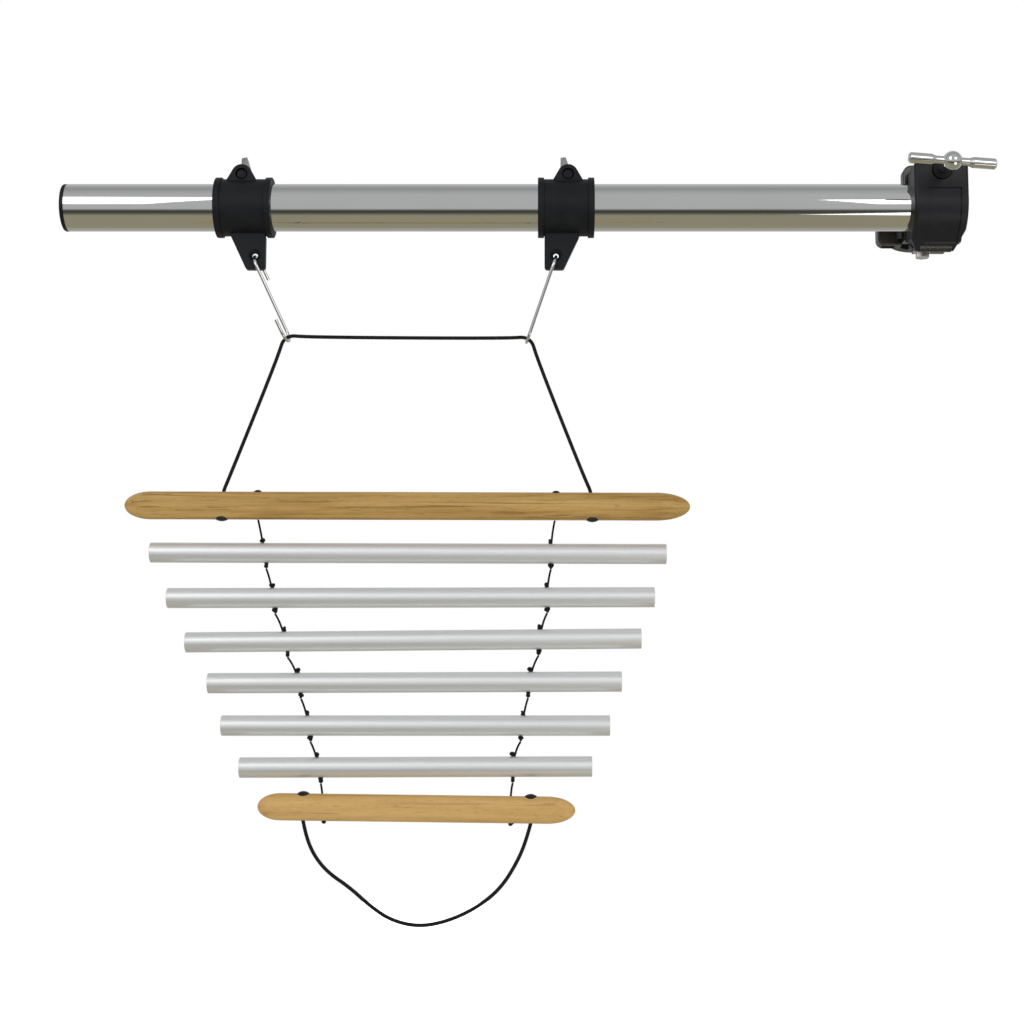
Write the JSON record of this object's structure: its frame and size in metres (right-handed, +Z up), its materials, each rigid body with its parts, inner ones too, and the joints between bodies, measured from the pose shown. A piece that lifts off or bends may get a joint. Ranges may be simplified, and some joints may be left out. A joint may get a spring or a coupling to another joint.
{
  "type": "hanging tube marimba on a rack arm",
  "caption": "Hanging tube marimba: metal tubes tied on two knotted cords between wooden bars, hung by S-hooks from clamps on a chromed rack arm with a right-angle clamp.",
  "frame": {"origin": "centre of the upright post bore in the right-angle clamp", "axes": "+X along the rack arm from its free end to the clamp, +Z up along the post bore, -Y towards the player, where the arm and the instrument hang"},
  "size_m": [0.7439, 0.1689, 0.6287],
  "materials": {
    "chrome": "polished chrome plate",
    "zinc": "bright zinc plated steel",
    "cast_body": "cast, blasted and tumbled",
    "black_jaw": "satin black powder coat",
    "black_moulding": "fine matt moulded nylon",
    "dark_steel": "blackened steel",
    "cap_plastic": "black polyethylene",
    "tube_aluminium": "satin anodised, fine drawn lines",
    "upper_wood": "oiled teak, fine long grain",
    "lower_wood": "oiled teak, paler board",
    "black_cord": "braided polyester cord",
    "rung_string": "waxed braided string",
    "stopper_black": "black moulded stopper"
  },
  "bodies": {
    "clamp": {"clamp_body": "cast_body", "hinge_bracket": "cast_body", "bracket_bolt": "zinc", "arm_hinge_pin": "zinc", "post_hinge_pin": "zinc"},
    "arm_jaw": {"arm_jaw": "black_jaw"},
    "arm_washer": {"arm_washer": "cap_plastic"},
    "arm_screw": {"arm_screw": "chrome", "arm_t_bar": "chrome"},
    "post_jaw": {"post_jaw": "black_jaw"},
    "post_washer": {"post_washer": "zinc"},
    "post_screw": {"post_screw": "chrome", "post_t_bar": "chrome"},
    "arm": {"arm_tube": "chrome", "arm_cap_left": "cap_plastic", "arm_cap_right": "cap_plastic"},
    "suspension": {"hanging_cord": "black_cord", "hanging_cord_stoppers": "stopper_black", "upper_bar": "upper_wood", "top_stoppers": "stopper_black"},
    "lower_bar": {"lower_bar": "lower_wood", "rung_cord_7": "rung_string", "end_knots": "rung_string", "loop_stoppers": "stopper_black"},
    "loop": {"loop_cord": "black_cord"},
    "left_hanger": {"left_hanger_front": "black_moulding", "left_hanger_pin": "zinc", "left_hanger_bolt": "dark_steel"},
    "left_rear_shell": {"left_hanger_rear": "black_moulding"},
    "left_washer": {"left_hanger_washer": "zinc"},
    "left_wing_nut": {"left_wing_nut": "zinc"},
    "left_hook": {"left_s_hook": "chrome"},
    "right_hanger": {"right_hanger_front": "black_moulding", "right_hanger_pin": "zinc", "right_hanger_bolt": "dark_steel"},
    "right_rear_shell": {"right_hanger_rear": "black_moulding"},
    "right_washer": {"right_hanger_washer": "zinc"},
    "right_wing_nut": {"right_wing_nut": "zinc"},
    "right_hook": {"right_s_hook": "chrome"},
    "rung_1": {"tube_1": "tube_aluminium", "rung_cord_1": "rung_string", "rung_knots_1": "rung_string"},
    "rung_2": {"tube_2": "tube_aluminium", "rung_cord_2": "rung_string", "rung_knots_2": "rung_string"},
    "rung_3": {"tube_3": "tube_aluminium", "rung_cord_3": "rung_string", "rung_knots_3": "rung_string"},
    "rung_4": {"tube_4": "tube_aluminium", "rung_cord_4": "rung_string", "rung_knots_4": "rung_string"},
    "rung_5": {"tube_5": "tube_aluminium", "rung_cord_5": "rung_string", "rung_knots_5": "rung_string"},
    "rung_6": {"tube_6": "tube_aluminium", "rung_cord_6": "rung_string", "rung_knots_6": "rung_string"}
  },
  "joints": [
    {"name": "arm_slide", "type": "slide", "parent": "clamp", "child": "arm", "axis": [1, 0, 0], "range_m": [-0.01, 0.115]},
    {"name": "arm_screw_travel", "type": "slide", "parent": "clamp", "child": "arm_washer", "axis": [0, -0.9905, -0.1374], "range_m": [0, 0.008]},
    {"name": "arm_screw_turn", "type": "hinge", "parent": "arm_washer", "child": "arm_screw", "pos_m": [0, -0.07971, 0.02278], "axis": [0, -0.9905, -0.1374], "range_deg": [0, 2310]},
    {"name": "arm_jaw_open", "type": "hinge", "parent": "clamp", "child": "arm_jaw", "pos_m": [0, -0.05, -0.0315], "axis": [1, 0, 0], "range_deg": [0, 6.05]},
    {"name": "post_screw_travel", "type": "slide", "parent": "clamp", "child": "post_washer", "axis": [0, 1, 0], "range_m": [0, 0.008]},
    {"name": "post_screw_turn", "type": "hinge", "parent": "post_washer", "child": "post_screw", "pos_m": [-0.0278, 0.03, 0.0145], "axis": [0, 1, 0], "range_deg": [0, 2310]},
    {"name": "post_jaw_open", "type": "hinge", "parent": "clamp", "child": "post_jaw", "pos_m": [0.027, 0, 0], "axis": [0, 0, -1], "range_deg": [0, 6.05]},
    {"name": "left_hanger_slide", "type": "slide", "parent": "arm", "child": "left_hanger", "axis": [1, 0, 0], "range_m": [-0.11, 0.115]},
    {"name": "left_wing_travel", "type": "slide", "parent": "left_hanger", "child": "left_washer", "axis": [0, 1, 0], "range_m": [0, 0.006]},
    {"name": "left_wing_turn", "type": "hinge", "parent": "left_washer", "child": "left_wing_nut", "pos_m": [-0.5637, -0.03, 0.0246], "axis": [0, 1, 0], "range_deg": [0, 2170]},
    {"name": "left_rear_open", "type": "hinge", "parent": "left_hanger", "child": "left_rear_shell", "pos_m": [-0.5622, -0.05, -0.0212], "axis": [-1, 0, 0], "range_deg": [0, 5.05]},
    {"name": "left_hook_swing", "type": "hinge", "parent": "left_hanger", "child": "left_hook", "pos_m": [-0.5532, -0.052, -0.0414], "axis": [1, 0, 0], "range_deg": [-6, 6]},
    {"name": "right_hanger_slide", "type": "slide", "parent": "arm", "child": "right_hanger", "axis": [1, 0, 0], "range_m": [-0.11, 0.115]},
    {"name": "right_wing_travel", "type": "slide", "parent": "right_hanger", "child": "right_washer", "axis": [0, 1, 0], "range_m": [0, 0.006]},
    {"name": "right_wing_turn", "type": "hinge", "parent": "right_washer", "child": "right_wing_nut", "pos_m": [-0.2993, -0.03, 0.0246], "axis": [0, 1, 0], "range_deg": [0, 2170]},
    {"name": "right_rear_open", "type": "hinge", "parent": "right_hanger", "child": "right_rear_shell", "pos_m": [-0.3008, -0.05, -0.0212], "axis": [-1, 0, 0], "range_deg": [0, 5.05]},
    {"name": "right_hook_swing", "type": "hinge", "parent": "right_hanger", "child": "right_hook", "pos_m": [-0.309, -0.052, -0.0414], "axis": [1, 0, 0], "range_deg": [-6, 6]},
    {"name": "suspension_swing", "type": "hinge", "parent": "left_hook", "child": "suspension", "pos_m": [-0.52496, -0.052, -0.11101], "axis": [1, 0, -0.0061], "range_deg": [-5, 20]},
    {"name": "rung_1_swing", "type": "hinge", "parent": "suspension", "child": "rung_1", "pos_m": [-0.5468, -0.052, -0.25659], "axis": [1, 0, -0.0026], "range_deg": [-10, 10]},
    {"name": "rung_2_swing", "type": "hinge", "parent": "rung_1", "child": "rung_2", "pos_m": [-0.5397, -0.052, -0.29557], "axis": [1, 0, -0.003], "range_deg": [-10, 10]},
    {"name": "rung_3_swing", "type": "hinge", "parent": "rung_2", "child": "rung_3", "pos_m": [-0.5321, -0.052, -0.33149], "axis": [1, 0, 0.0017], "range_deg": [-10, 10]},
    {"name": "rung_4_swing", "type": "hinge", "parent": "rung_3", "child": "rung_4", "pos_m": [-0.5216, -0.052, -0.36615], "axis": [1, 0, 0.0086], "range_deg": [-10, 10]},
    {"name": "rung_5_swing", "type": "hinge", "parent": "rung_4", "child": "rung_5", "pos_m": [-0.5105, -0.052, -0.39876], "axis": [1, 0, 0.004], "range_deg": [-10, 10]},
    {"name": "rung_6_swing", "type": "hinge", "parent": "rung_5", "child": "rung_6", "pos_m": [-0.5027, -0.052, -0.4323], "axis": [1, 0, 0], "range_deg": [-10, 10]},
    {"name": "lower_bar_swing", "type": "hinge", "parent": "rung_6", "child": "lower_bar", "pos_m": [-0.494, -0.052, -0.46493], "axis": [1, 0, 0.0031], "range_deg": [-10, 10]},
    {"name": "loop_swing", "type": "hinge", "parent": "lower_bar", "child": "loop", "pos_m": [-0.5074, -0.052, -0.4947], "axis": [0.9999, 0, -0.0123], "range_deg": [-20, 20]}
  ],
  "couplings": [
    {"joint": "arm_screw_turn", "follows": "arm_screw_travel", "rad_per_m": 5026.5},
    {"joint": "arm_jaw_open", "follows": "arm_screw_travel", "rad_per_m": 13.09},
    {"joint": "post_screw_turn", "follows": "post_screw_travel", "rad_per_m": 5026.5},
    {"joint": "post_jaw_open", "follows": "post_screw_travel", "rad_per_m": 13.09},
    {"joint": "left_wing_turn", "follows": "left_wing_travel", "rad_per_m": 6283.2},
    {"joint": "left_rear_open", "follows": "left_wing_travel", "rad_per_m": 14.544},
    {"joint": "right_wing_turn", "follows": "right_wing_travel", "rad_per_m": 6283.2},
    {"joint": "right_rear_open", "follows": "right_wing_travel", "rad_per_m": 14.544},
    {"joint": "right_hanger_slide", "follows": "left_hanger_slide", "ratio": 1},
    {"joint": "right_hook_swing", "follows": "left_hook_swing", "ratio": 1}
  ]
}
